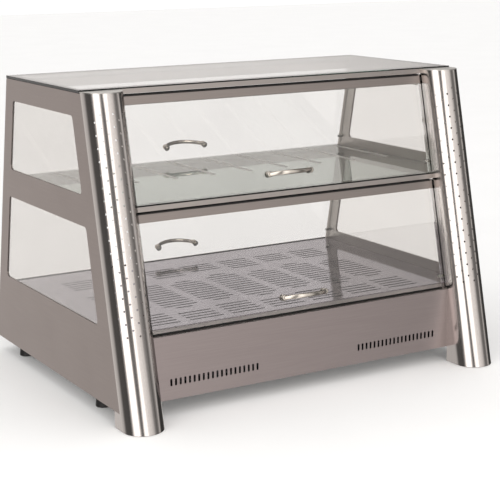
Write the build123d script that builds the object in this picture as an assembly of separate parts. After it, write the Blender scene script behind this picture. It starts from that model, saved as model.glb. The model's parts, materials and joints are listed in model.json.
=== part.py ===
from build123d import *
import os
from math import cos, radians, sin, tan

# Hot food display case: a counter-top, two-level cabinet. Millimetres.
# Origin: on the counter, in the middle of the footprint. +X is the operator's left-to-right
# as seen from the customer side, -Y is the customer (front) side, +Z is up.

# ---- driving dimensions -------------------------------------------------------------------
WIDTH = 860.0             # across the outer faces of the side skins
DEPTH = 688.0             # front of the columns at the counter to the rear edge of the base
HEIGHT = 618.0            # counter to the top of the roof glass
LEAN = 12.5               # degrees that the front and rear faces lean inwards
BASE_BOTTOM = 33.0        # underside of the base above the counter
DECK_TOP = 160.0          # upper face of the food deck
SHELF_TOP = 400.0         # upper face of the glass shelf
BASE_FRONT_RECESS = 36.0  # base front panel behind the column axis, at the counter

SKIN = 1.5                # outer side skins, columns and crossbars
LINER = 1.2               # inner side liners and base sheets
PANE = 4.0                # door panes and side windows
PLATE_GLASS = 5.0         # roof and shelf
SEAL = 1.0                # silicone under the roof and shelf glass

# ---- columns --------------------------------------------------------------------------------
COLUMN_R = 40.0           # outer radius of the half-round front of a column
COLUMN_GAP = 1.0          # the columns end just above the counter; the rubber feet carry
COLUMN_SEAM = 6.0         # weld seam behind the tangent line on the outer side
COLUMN_FLANGE = 24.0      # inner flange behind the column axis, carries the hinges
CAP_T = 1.5               # D-shaped lid on a column
CAP_BELOW_ROOF = 2.5      # lid and crossbar edge below the top of the roof glass
HOLE_R = 2.0              # round perforations
HOLE_ROWS = 18
HOLE_PITCH = 24.0         # along the column
HOLE_STEP = 17.5          # degrees between neighbouring lines of holes
HOLE_LINES = 7
HOLE_TOP = 578.0          # height of the uppermost hole on the front line

# ---- side windows ---------------------------------------------------------------------------
WINDOW_FRONT = 57.0       # column axis to the window's front edge
WINDOW_REAR = 41.0        # rear edge of the skin to the window's rear edge
WINDOW_SILL = 22.0        # deck or shelf to the bottom of a window
WINDOW_HEAD_UPPER = 50.0  # top of the roof glass to the top of the upper window
WINDOW_HEAD_LOWER = 37.0  # top of the shelf to the top of the lower window
WINDOW_R = 9.0            # corner radius
WINDOW_LAP = 8.0          # glass hidden behind the edge of the skin

# ---- crossbars and glass ----------------------------------------------------------------------
BAR_H = 9.0               # visible edge of a crossbar
BAR_FLANGE = 26.0         # ledge under the glass
BAR_RETURN = 14.0         # stiffening return along the bottom
ROOF_SETBACK = 10.5       # front edge of the roof glass behind the column axis
SHELF_END_GAP = 1.0       # shelf glass to each liner
PAD = 16.0                # silicone pads under the shelf glass

# ---- flap doors ---------------------------------------------------------------------------------
FRONT_SETBACK = 9.0       # outer face of the front doors behind the column axis plane
REAR_SETBACK = 1.0        # outer face of the rear doors inside the rear edge
RAIL_H = 19.0             # hinged head rail, along the door
RAIL_D = 12.0             # head rail, through the door
RAIL_WALL = 1.5
RAIL_ROUND = 4.0          # upper corners of the rail, so that it turns under the crossbar
RAIL_GAP = 2.0            # crossbar to the rail
END_GAP = 3.0             # rail end to the column flange or the liner
PANE_END_GAP = 1.5        # pane edge short of the rail's end
PANE_IN_RAIL = 12.0       # depth of the pane inside the rail
PANE_CLEAR = 1.5          # bottom edge of a pane above the deck or the shelf
PIN_R = 2.5
PIN_CLEAR = 0.05          # radial running clearance of a hinge pin
PIN_REACH = 7.0           # pin beyond the rail's end
PLUG_L = 16.0             # plug inside the rail's end
PLUG_FIT = 0.1            # plug to the wall of the rail
BUSH_R = 5.0
BUSH_COLLAR_R = 6.5
BUSH_COLLAR_T = 1.0
BUSH_L = 4.5

# ---- bow handles ----------------------------------------------------------------------------------
HANDLE_PITCH = 96.0       # between the two fixing screws
HANDLE_RISE = 30.0        # screws above the bottom edge of the pane
HANDLE_REACH = 31.0       # outermost point of the bow from the glass
HANDLE_FOOT_R = 6.0
HANDLE_FOOT_H = 9.0
BOW_W = 9.0               # bow section, across the door's height
BOW_T = 6.0               # bow section, through the bow
SCREW_R = 2.0
SCREW_CLEAR = 0.1
SCREW_HOLE_R = 3.0        # hole in the pane
WASHER_R = 6.5
WASHER_T = 1.0
STOP_R = 3.0              # silicone bumper behind a pane's lower corner
STOP_L = 9.0
STOP_GAP = 0.3            # bumper to the closed pane
STOP_RISE = 22.0          # bumper above the bottom edge of the pane

# ---- base -------------------------------------------------------------------------------------------
FRONT_FLANGE = 62.0       # top fold of the front panel, under the deck plate
DECK_START = 50.0         # front edge of the deck plate behind the base front
DECK_T = 1.0
DECK_REAR_GAP = 15.0      # rear edge of the deck plate inside the rear panel
DECK_TURN_DOWN = 8.0      # folded side edges of the deck plate
REAR_FLANGE = 40.0
BASE_CLEAR = 0.5          # sheet edges inside the side skins' liners
SLOT_W = 5.0
SLOT_L = 76.0
SLOT_SHORT_L = 39.0       # at both ends of a middle group
SLOT_PITCH = 17.2
GROUP_PITCH = 95.6
GROUPS = 7                # groups alternate between a long and a short middle block
MIDDLE_Y = 273.5          # centre of the middle blocks behind the base front
MIDDLE_ROWS = (11, 9)     # full slots of the middle block, even and odd groups
FRONT_Y = 76.5            # foremost slot
FRONT_ROWS = (4, 5)
REAR_Y = 482.5            # rearmost slot
REAR_ROWS = (4, 5)
VENT_W = 4.5
VENT_H = 14.0
VENT_R = 1.5
VENT_PITCH = 10.0
VENTS = 20
VENT_CENTRE_X = 215.5
VENT_CENTRE_Z = 67.0
PAN_TURN_UP = 14.0
FOOT_R = 16.0
FOOT_TOP_R = 12.5
FOOT_X = 395.0
FOOT_FRONT = 127.0        # behind the base front
FOOT_REAR = 530.0
FOOT_NECK_R = 5.0
FOOT_NECK_FIT = 0.1
SHIELD_BACK = 470.0       # partition behind the base front, keeps heat off the electrics
ELEMENT_R = 4.0
ELEMENT_FIT = 0.2         # elements and bulb in their holes
ELEMENT_SPAN = 620.0      # length of an element's legs
ELEMENT_LEG_GAP = 90.0    # between the two legs of an element
ELEMENT_Z = 112.0
ELEMENT_Y = (150.0, 330.0)  # centre of each element behind the base front
TAIL_X = 300.0            # where the elements' cold ends turn back
BRACKET_X = (-250.0, 0.0, 250.0)

# ---- controls on the rear panel -----------------------------------------------------------------
CONTROL_Z = 120.0
KNOB_X = -300.0
SWITCH_X = -220.0
LAMP_X = -165.0
GLAND_X = 330.0
KNOB_R = 19.0
KNOB_H = 16.0
KNOB_SKIRT = 5.5          # height of the wide rim, hollow behind for the fixing nut
KNOB_GAP = 1.0
KNOB_FIT = 0.05
SPINDLE_R = 3.0
SPINDLE_TIP = 13.0        # spindle beyond the panel
NECK_R = 5.0              # threaded neck of the thermostat
NECK_OUT = 4.0
THERMO_L, THERMO_W, THERMO_D = 42.0, 34.0, 26.0
CAPILLARY_R = 1.0
BULB_R = 3.0
BULB_L = 70.0
BULB_X = 60.0
BULB_Z = 135.0
CONTROL_FIT = 0.1         # controls in their cut-outs
SWITCH_W, SWITCH_H, SWITCH_D = 27.0, 21.0, 24.0
WELL_W, WELL_H, WELL_D = 23.0, 15.0, 10.0   # opening for the rocker
ROCKER_W, ROCKER_H = 22.4, 12.8
ROCKER_PIN_R = 1.5
ROCKER_PIN_CLEAR = 0.05
ROCKER_DEPTH = 4.0        # pivot behind the panel
ROCKER_TILT = 9.0         # degrees either side of level
LAMP_R = 6.0
LAMP_BEZEL_R = 8.0
GLAND_R = 10.0
GLAND_OUT = 17.0
CORD_R = 4.5

# ---- derived ------------------------------------------------------------------------------------------
SLOPE = tan(radians(LEAN))
COS = cos(radians(LEAN))
SIN = sin(radians(LEAN))
HALF = WIDTH / 2
COLUMN_X = HALF - COLUMN_R
INNER_FACE = HALF - 2 * COLUMN_R            # inner face of a column, faces the doors
LINER_OUT = HALF - SKIN - PANE              # liner's face against the window glass
LINER_IN = LINER_OUT - LINER
AXIS_Y0 = -DEPTH / 2 + COLUMN_R / COS       # column axis at the counter
BASE_FRONT = AXIS_Y0 + BASE_FRONT_RECESS
ROOF_UNDER = HEIGHT - PLATE_GLASS - SEAL    # top of the side skins
ROOF_FRONT = AXIS_Y0 + HEIGHT * SLOPE + ROOF_SETBACK
EDGE_TOP = HEIGHT - CAP_BELOW_ROOF
BAR_BOTTOM = CAP_BELOW_ROOF + BAR_H         # underside of a crossbar below its glass top
BASE_TOP = DECK_TOP - DECK_T                # folds of the base panels, under the deck plate
BAR_RISE = PLATE_GLASS + SEAL - CAP_BELOW_ROOF  # raised edge of a crossbar above its ledge
FAR = 900.0                                 # beyond the whole case, for trimming tools


def axis_y(z):
    """Column axis at height z."""
    return AXIS_Y0 + z * SLOPE


def rear_y(z):
    """Rear edge of the side skins at height z."""
    return DEPTH / 2 - (z - BASE_BOTTOM) * SLOPE


def box(x0, x1, y0, y1, z0, z1):
    return Pos((x0 + x1) / 2, (y0 + y1) / 2, (z0 + z1) / 2) * Box(x1 - x0, y1 - y0, z1 - z0)


def yz_prism(points, x0, x1):
    """Closed outline in the YZ plane, from x0 to x1."""
    face = make_face(Plane.YZ.offset(x0) * Polyline(*points, close=True))
    return extrude(face, x1 - x0, dir=(1, 0, 0))


def rounded_yz_prism(points, radius, x0, x1):
    face = Polygon(*points, align=None)
    face = fillet(face.vertices(), radius)
    return extrude(Plane.YZ.offset(x0) * face, x1 - x0, dir=(1, 0, 0))


def mirrored(part):
    return mirror(part, about=Plane.YZ)


def both_sides(part):
    return [part, mirrored(part)]


# ---- columns ------------------------------------------------------------------------------------
def column_profile():
    """U-section: half-round front, outer flange on -X, inner flange on +X."""
    reach = 70.0
    inner = COLUMN_R - SKIN
    outline = (
        Polyline((-COLUMN_R, reach), (-COLUMN_R, 0))
        + ThreePointArc((-COLUMN_R, 0), (0, -COLUMN_R), (COLUMN_R, 0))
        + Polyline((COLUMN_R, 0), (COLUMN_R, reach), (inner, reach), (inner, 0))
        + ThreePointArc((inner, 0), (0, -inner), (-inner, 0))
        + Polyline((-inner, 0), (-inner, reach), (-COLUMN_R, reach))
    )
    return make_face(outline)


def column_plane(start):
    """Plane square to the left column's axis, start mm along it from the counter."""
    origin = (-COLUMN_X, AXIS_Y0 + start * SIN, start * COS)
    return Plane(origin=origin, x_dir=(1, 0, 0), z_dir=(0, SIN, COS))


def column_trim_outer():
    """Everything behind the weld seam; below the base the column keeps a flat foot."""
    points = [
        (BASE_FRONT, -FAR),
        (BASE_FRONT, BASE_BOTTOM),
        (axis_y(BASE_BOTTOM) + COLUMN_SEAM, BASE_BOTTOM),
        (axis_y(FAR) + COLUMN_SEAM, FAR),
        (FAR, FAR),
        (FAR, -FAR),
    ]
    return yz_prism(points, -HALF - SKIN, -COLUMN_X)


def column_trim_inner():
    """Everything behind the inner flange, which meets the base front panel below the deck."""
    points = [
        (BASE_FRONT, -FAR),
        (BASE_FRONT, BASE_TOP),
        (axis_y(BASE_TOP) + COLUMN_FLANGE, BASE_TOP),
        (axis_y(FAR) + COLUMN_FLANGE, FAR),
        (FAR, FAR),
        (FAR, -FAR),
    ]
    return yz_prism(points, -COLUMN_X, -INNER_FACE + SKIN)


def column_holes():
    """Staggered lines of round holes round the front of the left column."""
    pins = []
    for line in range(HOLE_LINES):
        turn = (line - (HOLE_LINES - 1) / 2) * HOLE_STEP
        short = line % 2 == 0
        for row in range(HOLE_ROWS - 1 if short else HOLE_ROWS):
            along = (HOLE_TOP - COLUMN_R * SIN) / COS - (row + (0.5 if short else 0.0)) * HOLE_PITCH
            pin = Pos(0, -COLUMN_R, 0) * Rot(90, 0, 0) * Cylinder(HOLE_R, 3 * SKIN)
            pins.append(column_plane(along).location * Rot(0, 0, turn) * pin)
    return pins


def front_pivots():
    """(y, z) of the hinge axes of the two front doors, upper first."""
    return [door_place(True, top) for top in (HEIGHT, SHELF_TOP)]


def left_column():
    start = 80.0
    body = extrude(column_plane(-start) * column_profile(), HEIGHT / COS + 2 * start)
    body -= column_trim_outer()
    body -= column_trim_inner()
    body -= box(-FAR, 0, -FAR, FAR, -FAR, COLUMN_GAP)
    body -= box(-FAR, 0, -FAR, FAR, EDGE_TOP - CAP_T, FAR)
    body -= box(-FAR, 0, ROOF_FRONT, FAR, ROOF_UNDER, FAR)
    body -= column_holes()
    for place in front_pivots():
        centre = pivot_point(place)
        body -= Pos(-INNER_FACE, centre.Y, centre.Z) * Rot(0, 90, 0) * Cylinder(BUSH_R, 4 * SKIN)
    return body


def left_column_cap():
    """Flat D-shaped lid, flush with the outer face and the crossbar's upper edge."""
    y = axis_y(EDGE_TOP)
    depth = COLUMN_R / COS
    front = make_face(
        ThreePointArc((-COLUMN_R, 0), (0, -COLUMN_R), (COLUMN_R, 0)) + Line((COLUMN_R, 0), (-COLUMN_R, 0))
    )
    front = scale(extrude(front, CAP_T), by=(1, depth / COLUMN_R, 1))
    lid = Pos(-COLUMN_X, y, EDGE_TOP - CAP_T) * front
    lid += box(-HALF, -INNER_FACE, y, ROOF_FRONT, EDGE_TOP - CAP_T, EDGE_TOP)
    lid -= box(-HALF, -COLUMN_X, ROOF_FRONT - CAP_T, ROOF_FRONT, EDGE_TOP - CAP_T, EDGE_TOP) & Pos(
        -HALF, ROOF_FRONT, EDGE_TOP
    ) * Cylinder(2 * CAP_T, 4 * CAP_T)
    return lid


# ---- sides --------------------------------------------------------------------------------------
def side_outline(bottom, top, front_offset, rear_offset):
    return [
        (axis_y(bottom) + front_offset, bottom),
        (rear_y(bottom) - rear_offset, bottom),
        (rear_y(top) - rear_offset, top),
        (axis_y(top) + front_offset, top),
    ]


def window_span(upper):
    if upper:
        return SHELF_TOP + WINDOW_SILL, HEIGHT - WINDOW_HEAD_UPPER
    return DECK_TOP + WINDOW_SILL, SHELF_TOP - WINDOW_HEAD_LOWER


def window_cut(upper, x0, x1):
    low, high = window_span(upper)
    return rounded_yz_prism(side_outline(low, high, WINDOW_FRONT, WINDOW_REAR), WINDOW_R, x0, x1)


def left_side_panel():
    """Outer skin with two windows, welded to the column, folded in along its rear edge."""
    outline = [
        (axis_y(BASE_BOTTOM) + COLUMN_SEAM, BASE_BOTTOM),
        (rear_y(BASE_BOTTOM), BASE_BOTTOM),
        (rear_y(ROOF_UNDER), ROOF_UNDER),
        (axis_y(ROOF_UNDER) + COLUMN_SEAM, ROOF_UNDER),
    ]
    skin = yz_prism(outline, -HALF, -HALF + SKIN)
    fold = yz_prism(
        [
            (rear_y(BASE_BOTTOM) - SKIN, BASE_BOTTOM),
            (rear_y(BASE_BOTTOM), BASE_BOTTOM),
            (rear_y(ROOF_UNDER), ROOF_UNDER),
            (rear_y(ROOF_UNDER) - SKIN, ROOF_UNDER),
        ],
        -HALF + SKIN,
        -LINER_OUT,
    )
    skin += fold
    for upper in (True, False):
        skin -= window_cut(upper, -HALF - SKIN, -HALF + 2 * SKIN)
    return skin


def left_side_liner():
    """Inner skin: clamps the window glass, closes the rear post and carries the rear hinges."""
    outline = side_outline(DECK_TOP, ROOF_UNDER, COLUMN_FLANGE, 0)
    sheet = yz_prism(outline, -LINER_OUT, -LINER_IN)
    for upper in (True, False):
        sheet -= window_cut(upper, -LINER_OUT - LINER, -LINER_IN + LINER)
    for top in (HEIGHT, SHELF_TOP):
        centre = pivot_point(door_place(False, top))
        sheet -= Pos(-LINER_IN, centre.Y, centre.Z) * Rot(0, 90, 0) * Cylinder(BUSH_R, 4 * LINER)
    return sheet


def left_window_glass(upper):
    low, high = window_span(upper)
    lap = WINDOW_LAP
    outline = side_outline(low - lap, high + lap, WINDOW_FRONT - lap, WINDOW_REAR - lap)
    return rounded_yz_prism(outline, WINDOW_R, -HALF + SKIN, -LINER_OUT)


# ---- crossbars, roof and shelf --------------------------------------------------------------------
def door_plane_y(front, z):
    """Outer face of the doors and crossbars at height z."""
    if front:
        return axis_y(z) + FRONT_SETBACK / COS
    return rear_y(z) - REAR_SETBACK / COS


def crossbar(front, top, rise):
    """Folded bar: leaning edge up to rise above the ledge, ledge under the glass, bottom return."""
    half = INNER_FACE if front else LINER_IN
    back = 1 if front else -1
    ledge = top - PLATE_GLASS - SEAL
    high, low = ledge + rise, top - BAR_BOTTOM
    y_high, y_low = door_plane_y(front, high), door_plane_y(front, low)
    edge = [(y_high, high), (y_high + back * SKIN, high), (y_low + back * SKIN, low), (y_low, low)]
    bar = yz_prism(edge, -half, half)
    y0, y1 = sorted((door_plane_y(front, ledge), door_plane_y(front, ledge) + back * BAR_FLANGE))
    shelf = box(-half, half, y0, y1, ledge - SKIN, ledge)
    y0, y1 = sorted((y_low, y_low + back * BAR_RETURN))
    turn = box(-half, half, y0, y1, low, low + SKIN)
    outside = yz_prism(
        [
            (door_plane_y(front, -FAR), -FAR),
            (door_plane_y(front, FAR), FAR),
            (-back * FAR, FAR),
            (-back * FAR, -FAR),
        ],
        -half,
        half,
    )
    return bar + (shelf + turn - outside)


def roof_glass():
    rear = rear_y(ROOF_UNDER)
    return box(-HALF, HALF, ROOF_FRONT, rear, HEIGHT - PLATE_GLASS, HEIGHT)


def roof_seal():
    """Flat silicone frame that beds the roof glass on the skins and the crossbars."""
    band = 12.0
    rear = rear_y(ROOF_UNDER)
    z0, z1 = ROOF_UNDER, ROOF_UNDER + SEAL
    inset = SKIN / 3
    frame = box(-HALF + inset, HALF - inset, ROOF_FRONT + inset, rear - inset, z0, z1)
    hole = box(-HALF + band, HALF - band, ROOF_FRONT + 2 * band, rear - 2 * band, z0, z1)
    return frame - hole


def shelf_span():
    """Front and rear edge of the shelf glass, just inside the crossbars' raised edges."""
    under = SHELF_TOP - PLATE_GLASS
    edge = SHELF_TOP - CAP_BELOW_ROOF
    return door_plane_y(True, edge) + SKIN + SEAL, door_plane_y(False, edge) - SKIN - SEAL, under


def shelf_glass():
    """Toughened plate, notched at the front round the two column flanges."""
    y0, y1, under = shelf_span()
    half = LINER_IN - SHELF_END_GAP
    plate = box(-half, half, y0, y1, under, SHELF_TOP)
    notch_y = axis_y(SHELF_TOP) + COLUMN_FLANGE + SHELF_END_GAP
    notch_x = INNER_FACE - SHELF_END_GAP
    for notch in both_sides(box(-FAR, -notch_x, -FAR, notch_y, under, SHELF_TOP)):
        plate -= notch
    return plate


def shelf_pads():
    """Small silicone pads between the shelf glass and the crossbars' ledges."""
    y0, y1, under = shelf_span()
    pads = []
    for x in (-300.0, 0.0, 300.0):
        for y in (y0 + PAD / 2 + 2, y1 - PAD / 2 - 2):
            pads.append(Pos(x, y, under - SEAL / 2) * Cylinder(PAD / 2, SEAL))
    return pads


def shelf_brackets():
    """Folded angle on each liner that carries the end of the shelf glass."""
    reach, drop = 14.0, 12.0
    z1 = SHELF_TOP - PLATE_GLASS - 0.2
    y0 = axis_y(SHELF_TOP) + WINDOW_FRONT
    y1 = rear_y(SHELF_TOP) - WINDOW_REAR
    ledge = box(-LINER_IN, -LINER_IN + reach, y0, y1, z1 - LINER, z1)
    web = box(-LINER_IN, -LINER_IN + LINER, y0, y1, z1 - drop, z1)
    return both_sides(ledge + web)


# ---- doors ----------------------------------------------------------------------------------------
def door_place(front, top):
    """Local frame of a door: +Y out of the case, +Z up the door, origin at the rail's top edge."""
    z = top - BAR_BOTTOM - RAIL_GAP
    x = -1 if front else 1
    y = SIN if front else -SIN
    return Plane(origin=(0, door_plane_y(front, z), z), x_dir=(x, 0, 0), z_dir=(0, y, COS))


def pivot_point(place):
    return place.from_local_coords(Vector(0, -RAIL_D / 2, -RAIL_H / 2))


def door_half(front):
    """Half the length of the head rail."""
    return (INNER_FACE if front else LINER_IN) - END_GAP


def pane_drop(top, floor):
    """Bottom edge of the pane, in the door's frame, for a door between two levels."""
    hinge_top = top - BAR_BOTTOM - RAIL_GAP
    inner_edge = (RAIL_D + PANE) / 2 * SIN
    return -(hinge_top - inner_edge - floor - PANE_CLEAR) / COS


def door_rail(front):
    """Folded head rail: rounded on top, open below for the pane."""
    half = door_half(front)
    outer = box(-half, half, -RAIL_D, 0, -RAIL_H, 0)
    top_edges = outer.edges().filter_by(Axis.X).group_by(Axis.Z)[-1]
    outer = fillet(top_edges, RAIL_ROUND)
    wall = RAIL_WALL
    inner = box(-half, half, -RAIL_D + wall, -wall, -RAIL_H + wall, -wall)
    inner = fillet(inner.edges().filter_by(Axis.X).group_by(Axis.Z)[-1], RAIL_ROUND - wall)
    side = (RAIL_D - PANE) / 2
    mouth = box(-half, half, -RAIL_D + side, -side, -RAIL_H, -RAIL_H + 2 * wall)
    return outer - inner - mouth


def door_glass(front, drop):
    half = door_half(front) - PANE_END_GAP
    side = (RAIL_D - PANE) / 2
    pane = box(-half, half, -RAIL_D + side, -side, drop, -RAIL_H + PANE_IN_RAIL)
    plug = PLUG_L + PLUG_FIT
    low = -RAIL_H + RAIL_WALL
    for sign in (-1, 1):
        x0, x1 = sorted((sign * (half - plug), sign * FAR))
        pane -= box(x0, x1, -RAIL_D, 0, low, 0)
    for sign in (-1, 1):
        hole = Rot(90, 0, 0) * Cylinder(SCREW_HOLE_R, 4 * PANE)
        pane -= Pos(sign * HANDLE_PITCH / 2, -RAIL_D / 2, drop + HANDLE_RISE) * hole
    return pane


def hinge_plugs(front):
    """Nylon plug pressed into each end of the rail, turned down to a hinge pin."""
    half = door_half(front)
    wall = RAIL_WALL + PLUG_FIT
    plug = box(half - PLUG_L, half, -RAIL_D + wall, -wall, -RAIL_H + wall, -wall)
    plug = fillet(plug.edges().filter_by(Axis.X).group_by(Axis.Z)[-1], RAIL_ROUND - wall)
    pin = Rot(0, 90, 0) * Cylinder(PIN_R, PIN_REACH, align=(Align.CENTER, Align.CENTER, Align.MIN))
    plug += Pos(half, -RAIL_D / 2, -RAIL_H / 2) * pin
    return both_sides(plug)


def door_handle(drop):
    """Cast bow handle: two round feet and an arched grip that thins towards its ends."""
    face = -(RAIL_D - PANE) / 2
    reach = HANDLE_REACH - BOW_T / 2
    spring = HANDLE_FOOT_H - BOW_T / 2
    ends = HANDLE_PITCH / 2
    path = ThreePointArc((-ends, spring, 0), (0, reach, 0), (ends, spring, 0))
    section = Plane(origin=path @ 0, x_dir=(0, 0, 1), z_dir=path % 0) * Ellipse(BOW_W / 2, BOW_T / 2)
    grip = sweep(section, path=path)
    foot_axis = Rot(90, 0, 0)
    handle = grip
    for sign in (-1, 1):
        foot = Cylinder(HANDLE_FOOT_R, HANDLE_FOOT_H, align=(Align.CENTER, Align.CENTER, Align.MAX))
        foot = fillet(foot.edges().group_by(Axis.Z)[0], HANDLE_FOOT_R / 3)
        handle += Pos(sign * ends, 0, 0) * foot_axis * foot
    for sign in (-1, 1):
        bore = Cylinder(SCREW_R + SCREW_CLEAR, HANDLE_FOOT_H * 1.2)
        handle -= Pos(sign * ends, 0, 0) * foot_axis * bore
    return Pos(0, face, drop + HANDLE_RISE) * handle


def handle_screws(drop):
    """Button-head screws with washers on the inside of the pane."""
    inside = -(RAIL_D + PANE) / 2
    low = (Align.CENTER, Align.CENTER, Align.MIN)
    high = (Align.CENTER, Align.CENTER, Align.MAX)
    dome = Pos(0, 0, WASHER_T) * Cylinder(SCREW_R * 2, SCREW_R * 1.2, align=low)
    dome = fillet(dome.edges().group_by(Axis.Z)[-1], SCREW_R * 0.8)
    shank = Cylinder(SCREW_R, PANE + HANDLE_FOOT_H * 0.55, align=high)
    screw = Rot(90, 0, 0) * (Cylinder(WASHER_R, WASHER_T, align=low) + dome + shank)
    ends = (-HANDLE_PITCH / 2, HANDLE_PITCH / 2)
    return [Pos(x, inside, drop + HANDLE_RISE) * screw for x in ends]


def placed(place, shape):
    """Moves a door's local shape, or list of shapes, into the case."""
    if isinstance(shape, list):
        return [place.location * item for item in shape]
    return place.location * shape


def hinge_bushes():
    """Collared nylon bushes: in the column flanges at the front, in the liners at the rear."""
    bushes = []
    for front in (True, False):
        face = INNER_FACE if front else LINER_IN
        for top in (HEIGHT, SHELF_TOP):
            centre = pivot_point(door_place(front, top))
            body = Cylinder(BUSH_R, BUSH_L, align=(Align.CENTER, Align.CENTER, Align.MIN))
            collar = Cylinder(BUSH_COLLAR_R, BUSH_COLLAR_T, align=(Align.CENTER, Align.CENTER, Align.MAX))
            bore = Cylinder(PIN_R + PIN_CLEAR, 4 * BUSH_L)
            bush = Pos(face, centre.Y, centre.Z) * Rot(0, 90, 0) * (body + collar - bore)
            bushes += both_sides(bush)
    return bushes


def door_stops():
    """Silicone bumpers that the lower corners of the closed panes rest on."""
    stops = []
    for front in (True, False):
        face = INNER_FACE if front else LINER_IN
        for top, floor in ((HEIGHT, SHELF_TOP), (SHELF_TOP, DECK_TOP)):
            place = door_place(front, top)
            y = -(RAIL_D + PANE) / 2 - STOP_GAP - STOP_R
            centre = place.from_local_coords(Vector(0, y, pane_drop(top, floor) + STOP_RISE))
            bumper = Cylinder(STOP_R, STOP_L, align=(Align.CENTER, Align.CENTER, Align.MAX))
            bumper = fillet(bumper.edges().group_by(Axis.Z)[0], STOP_R / 4)
            stops += both_sides(Pos(face, centre.Y, centre.Z) * Rot(0, 90, 0) * bumper)
    return stops


# ---- base -------------------------------------------------------------------------------------------
def rounded_wire(x, y, width, height, radius):
    return (Pos(x, y) * RectangleRounded(width, height, radius)).wire()


def base_front_panel():
    """Folded front: vented face between the columns, top fold under the deck, bottom fold."""
    y = BASE_FRONT
    outer = (Pos(0, (BASE_BOTTOM + BASE_TOP) / 2) * Rectangle(2 * INNER_FACE, BASE_TOP - BASE_BOTTOM)).wire()
    vents = []
    for side in (-1, 1):
        for i in range(VENTS):
            x = side * VENT_CENTRE_X + (i - (VENTS - 1) / 2) * VENT_PITCH
            vents.append(rounded_wire(x, VENT_CENTRE_Z, VENT_W, VENT_H, VENT_R))
    face = Plane.XZ.offset(-y) * Face(outer, vents)
    panel = extrude(face, LINER, dir=(0, 1, 0))
    top = box(-INNER_FACE, INNER_FACE, y, y + FRONT_FLANGE, BASE_TOP - LINER, BASE_TOP)
    wide = LINER_IN - BASE_CLEAR
    ears_y = axis_y(BASE_TOP) + COLUMN_FLANGE + BASE_CLEAR
    top += box(-wide, wide, ears_y, y + FRONT_FLANGE, BASE_TOP - LINER, BASE_TOP)
    bottom = box(-INNER_FACE, INNER_FACE, y, y + PAN_TURN_UP, BASE_BOTTOM, BASE_BOTTOM + LINER)
    return panel + top + bottom


def rear_inside(z, depth):
    """Outer face of the base rear panel, moved in by depth."""
    return rear_y(z) - (REAR_SETBACK + depth) / COS


def control_place(x, z=CONTROL_Z):
    """Frame on the outer face of the rear panel: +Z out of the case, +Y up the panel."""
    return Plane(origin=(x, rear_inside(z, 0), z), x_dir=(-1, 0, 0), z_dir=(0, COS, SIN))


def base_rear_panel():
    """Leaning rear panel with the control cut-outs and a top fold under the deck plate."""
    half = LINER_OUT
    outline = [
        (rear_inside(BASE_BOTTOM, 0), BASE_BOTTOM),
        (rear_inside(BASE_TOP, 0), BASE_TOP),
        (rear_inside(BASE_TOP, LINER), BASE_TOP),
        (rear_inside(BASE_BOTTOM, LINER), BASE_BOTTOM),
    ]
    panel = yz_prism(outline, -half, half)
    y1 = rear_inside(BASE_TOP, LINER / 2)
    fold = LINER_IN - BASE_CLEAR
    panel += box(-fold, fold, y1 - REAR_FLANGE, y1, BASE_TOP - LINER, BASE_TOP)
    cuts = [
        (KNOB_X, Cylinder(NECK_R + CONTROL_FIT, 6 * LINER)),
        (SWITCH_X, Box(SWITCH_W + 2 * CONTROL_FIT, SWITCH_H + 2 * CONTROL_FIT, 6 * LINER)),
        (LAMP_X, Cylinder(LAMP_R + CONTROL_FIT, 6 * LINER)),
        (GLAND_X, Cylinder(GLAND_R + CONTROL_FIT, 6 * LINER)),
    ]
    for x, tool in cuts:
        panel -= control_place(x).location * tool
    return panel


def base_bottom_pan():
    """Tray that closes the base, with turned-up edges; the feet screw to it."""
    t = LINER
    x = HALF - SKIN
    y0 = BASE_FRONT + PAN_TURN_UP + BASE_CLEAR
    y1 = rear_inside(BASE_BOTTOM + PAN_TURN_UP, LINER) - BASE_CLEAR
    z0 = BASE_BOTTOM
    pan = box(-x, x, y0, y1, z0, z0 + t)
    rim = box(-x, x, y0, y1, z0, z0 + PAN_TURN_UP) - box(-x + t, x - t, y0 + t, y1 - t, z0, z0 + PAN_TURN_UP)
    pan += rim
    for fx, fy in foot_places():
        pan -= Pos(fx, fy, z0) * Cylinder(FOOT_NECK_R, 4 * t)
    return pan


def foot_places():
    return [(sx * FOOT_X, BASE_FRONT + y) for sx in (-1, 1) for y in (FOOT_FRONT, FOOT_REAR)]


def feet():
    """Moulded push-in rubber feet: tapered, with a neck and a barb through the bottom pan."""
    low = (Align.CENTER, Align.CENTER, Align.MIN)
    foot = Cone(FOOT_R, FOOT_TOP_R, BASE_BOTTOM, align=low)
    foot = fillet(foot.edges().group_by(Axis.Z)[0], 2.0)
    foot -= Cylinder(FOOT_R * 0.45, BASE_BOTTOM / 3, align=low)
    foot += Pos(0, 0, BASE_BOTTOM) * Cylinder(FOOT_NECK_R - FOOT_NECK_FIT, LINER, align=low)
    foot += Pos(0, 0, BASE_BOTTOM + LINER) * Cone(FOOT_NECK_R * 1.4, FOOT_NECK_R * 0.7, 6.0, align=low)
    return [Pos(x, y, 0) * foot for x, y in foot_places()]


def slot_rows(odd):
    """(distance behind the base front, length) of every slot in a group."""
    rows = [(FRONT_Y + i * SLOT_PITCH, SLOT_L) for i in range(FRONT_ROWS[odd])]
    rows += [(REAR_Y - i * SLOT_PITCH, SLOT_L) for i in range(REAR_ROWS[odd])]
    reach = (MIDDLE_ROWS[odd] + 1) / 2
    for i in range(MIDDLE_ROWS[odd] + 2):
        end = i in (0, MIDDLE_ROWS[odd] + 1)
        rows.append((MIDDLE_Y + (i - reach) * SLOT_PITCH, SLOT_SHORT_L if end else SLOT_L))
    return rows


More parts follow.
